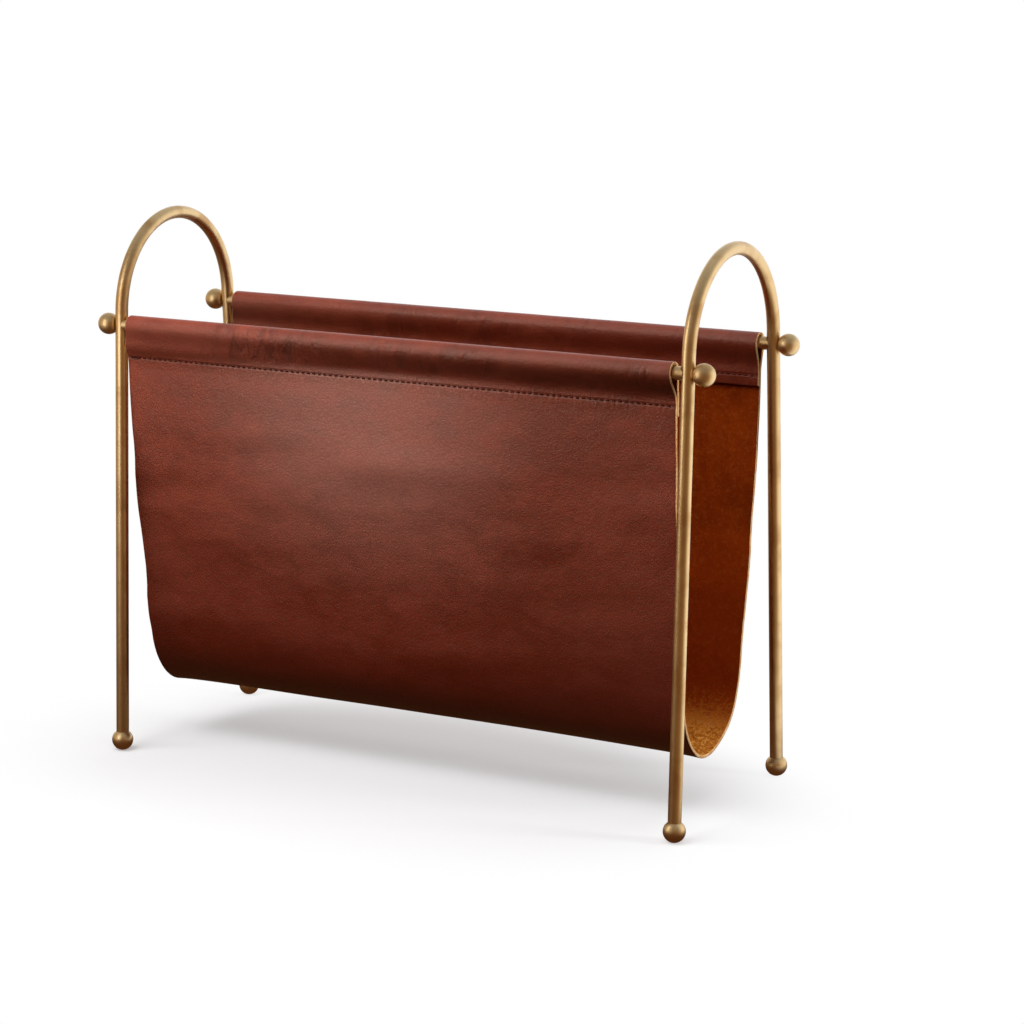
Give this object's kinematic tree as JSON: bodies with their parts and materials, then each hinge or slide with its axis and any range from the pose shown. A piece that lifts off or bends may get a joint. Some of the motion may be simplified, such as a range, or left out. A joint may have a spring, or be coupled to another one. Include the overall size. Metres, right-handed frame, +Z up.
{
  "type": "magazine basket",
  "caption": "Free-standing magazine basket: a leather sling hangs on two rods between arched brass hoops with ball finials and ball feet.",
  "frame": {"origin": "on the floor, below the middle of the frame", "axes": "+X from the left hoop to the right hoop, +Y from front to back, +Z up"},
  "size_m": [0.5034, 0.1884, 0.404],
  "materials": {
    "brass": "satin antique brass",
    "leather": "waxed full-grain outside, rust-brown flesh side inside, pale cut edges",
    "thread": "dark brown waxed sewing thread"
  },
  "bodies": {
    "frame": {"left_hoop": "brass", "right_hoop": "brass", "front_rod": "brass", "back_rod": "brass", "front_left_foot_ball": "brass", "front_left_foot_stud": "brass", "back_left_foot_ball": "brass", "back_left_foot_stud": "brass", "front_right_foot_ball": "brass", "front_right_foot_stud": "brass", "back_right_foot_ball": "brass", "back_right_foot_stud": "brass"},
    "sling": {"leather_sling": "leather", "front_needle_thread": "thread", "front_bobbin_thread": "thread", "back_needle_thread": "thread", "back_bobbin_thread": "thread"},
    "front_left_stud": {"front_left_finial_stud": "brass"},
    "front_left_ball": {"front_left_finial_ball": "brass"},
    "back_left_stud": {"back_left_finial_stud": "brass"},
    "back_left_ball": {"back_left_finial_ball": "brass"},
    "front_right_stud": {"front_right_finial_stud": "brass"},
    "front_right_ball": {"front_right_finial_ball": "brass"},
    "back_right_stud": {"back_right_finial_stud": "brass"},
    "back_right_ball": {"back_right_finial_ball": "brass"}
  },
  "joints": [
    {"name": "sling_slide", "type": "slide", "parent": "frame", "child": "sling", "axis": [1, 0, 0], "range_m": [-0.0012, 0.0052]},
    {"name": "front_left_finial_travel", "type": "slide", "parent": "frame", "child": "front_left_stud", "axis": [-1, 0, 0], "range_m": [0, 0.008]},
    {"name": "front_left_finial_turn", "type": "hinge", "parent": "front_left_stud", "child": "front_left_ball", "pos_m": [-0.24366, -0.06992, 0.3234], "axis": [-1, 0, 0], "range_deg": [0, 4113.8]},
    {"name": "back_left_finial_travel", "type": "slide", "parent": "frame", "child": "back_left_stud", "axis": [-1, 0, 0], "range_m": [0, 0.008]},
    {"name": "back_left_finial_turn", "type": "hinge", "parent": "back_left_stud", "child": "back_left_ball", "pos_m": [-0.24366, 0.06992, 0.3234], "axis": [-1, 0, 0], "range_deg": [0, 4113.8]},
    {"name": "front_right_finial_travel", "type": "slide", "parent": "frame", "child": "front_right_stud", "axis": [1, 0, 0], "range_m": [0, 0.008]},
    {"name": "front_right_finial_turn", "type": "hinge", "parent": "front_right_stud", "child": "front_right_ball", "pos_m": [0.24366, -0.06992, 0.3234], "axis": [1, 0, 0], "range_deg": [0, 4113.8]},
    {"name": "back_right_finial_travel", "type": "slide", "parent": "frame", "child": "back_right_stud", "axis": [1, 0, 0], "range_m": [0, 0.008]},
    {"name": "back_right_finial_turn", "type": "hinge", "parent": "back_right_stud", "child": "back_right_ball", "pos_m": [0.24366, 0.06992, 0.3234], "axis": [1, 0, 0], "range_deg": [0, 4113.8]}
  ],
  "couplings": [
    {"joint": "front_left_finial_travel", "follows": "front_left_finial_turn", "m_per_rad": 0.00011141},
    {"joint": "back_left_finial_travel", "follows": "back_left_finial_turn", "m_per_rad": 0.00011141},
    {"joint": "front_right_finial_travel", "follows": "front_right_finial_turn", "m_per_rad": 0.00011141},
    {"joint": "back_right_finial_travel", "follows": "back_right_finial_turn", "m_per_rad": 0.00011141}
  ]
}
